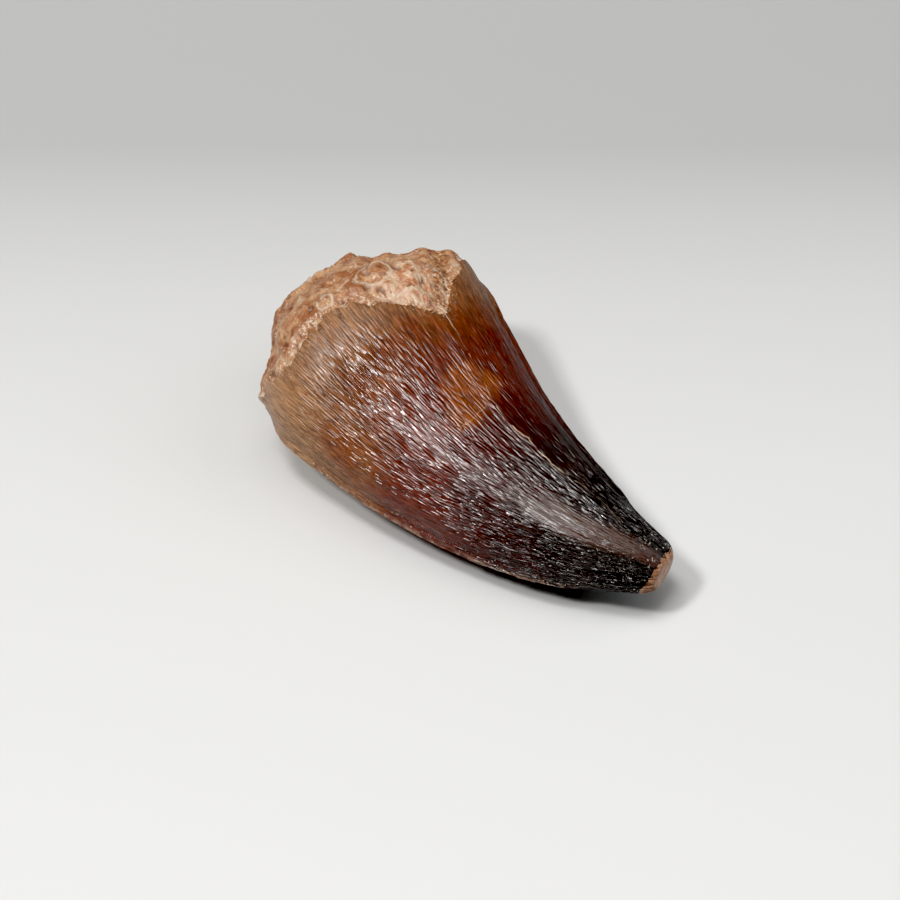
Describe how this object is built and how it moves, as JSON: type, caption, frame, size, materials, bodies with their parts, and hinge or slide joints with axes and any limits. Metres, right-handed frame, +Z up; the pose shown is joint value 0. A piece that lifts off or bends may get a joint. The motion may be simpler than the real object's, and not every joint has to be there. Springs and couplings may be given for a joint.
{
  "type": "fossil mosasaur tooth",
  "caption": "Curved conical fossil reptile tooth lying on its side, with a worn blunt tip, a broken root and a sandy crust around the base.",
  "frame": {"origin": "centre of the outline seen from above, on the surface that the tooth lies on", "axes": "+X from the broken root to the tip, +Y to the concave edge, +Z up"},
  "size_m": [0.0632, 0.0336, 0.024],
  "materials": {
    "fossil_tooth": "satin"
  },
  "bodies": {
    "root": {"tooth": "fossil_tooth"}
  },
  "joints": []
}
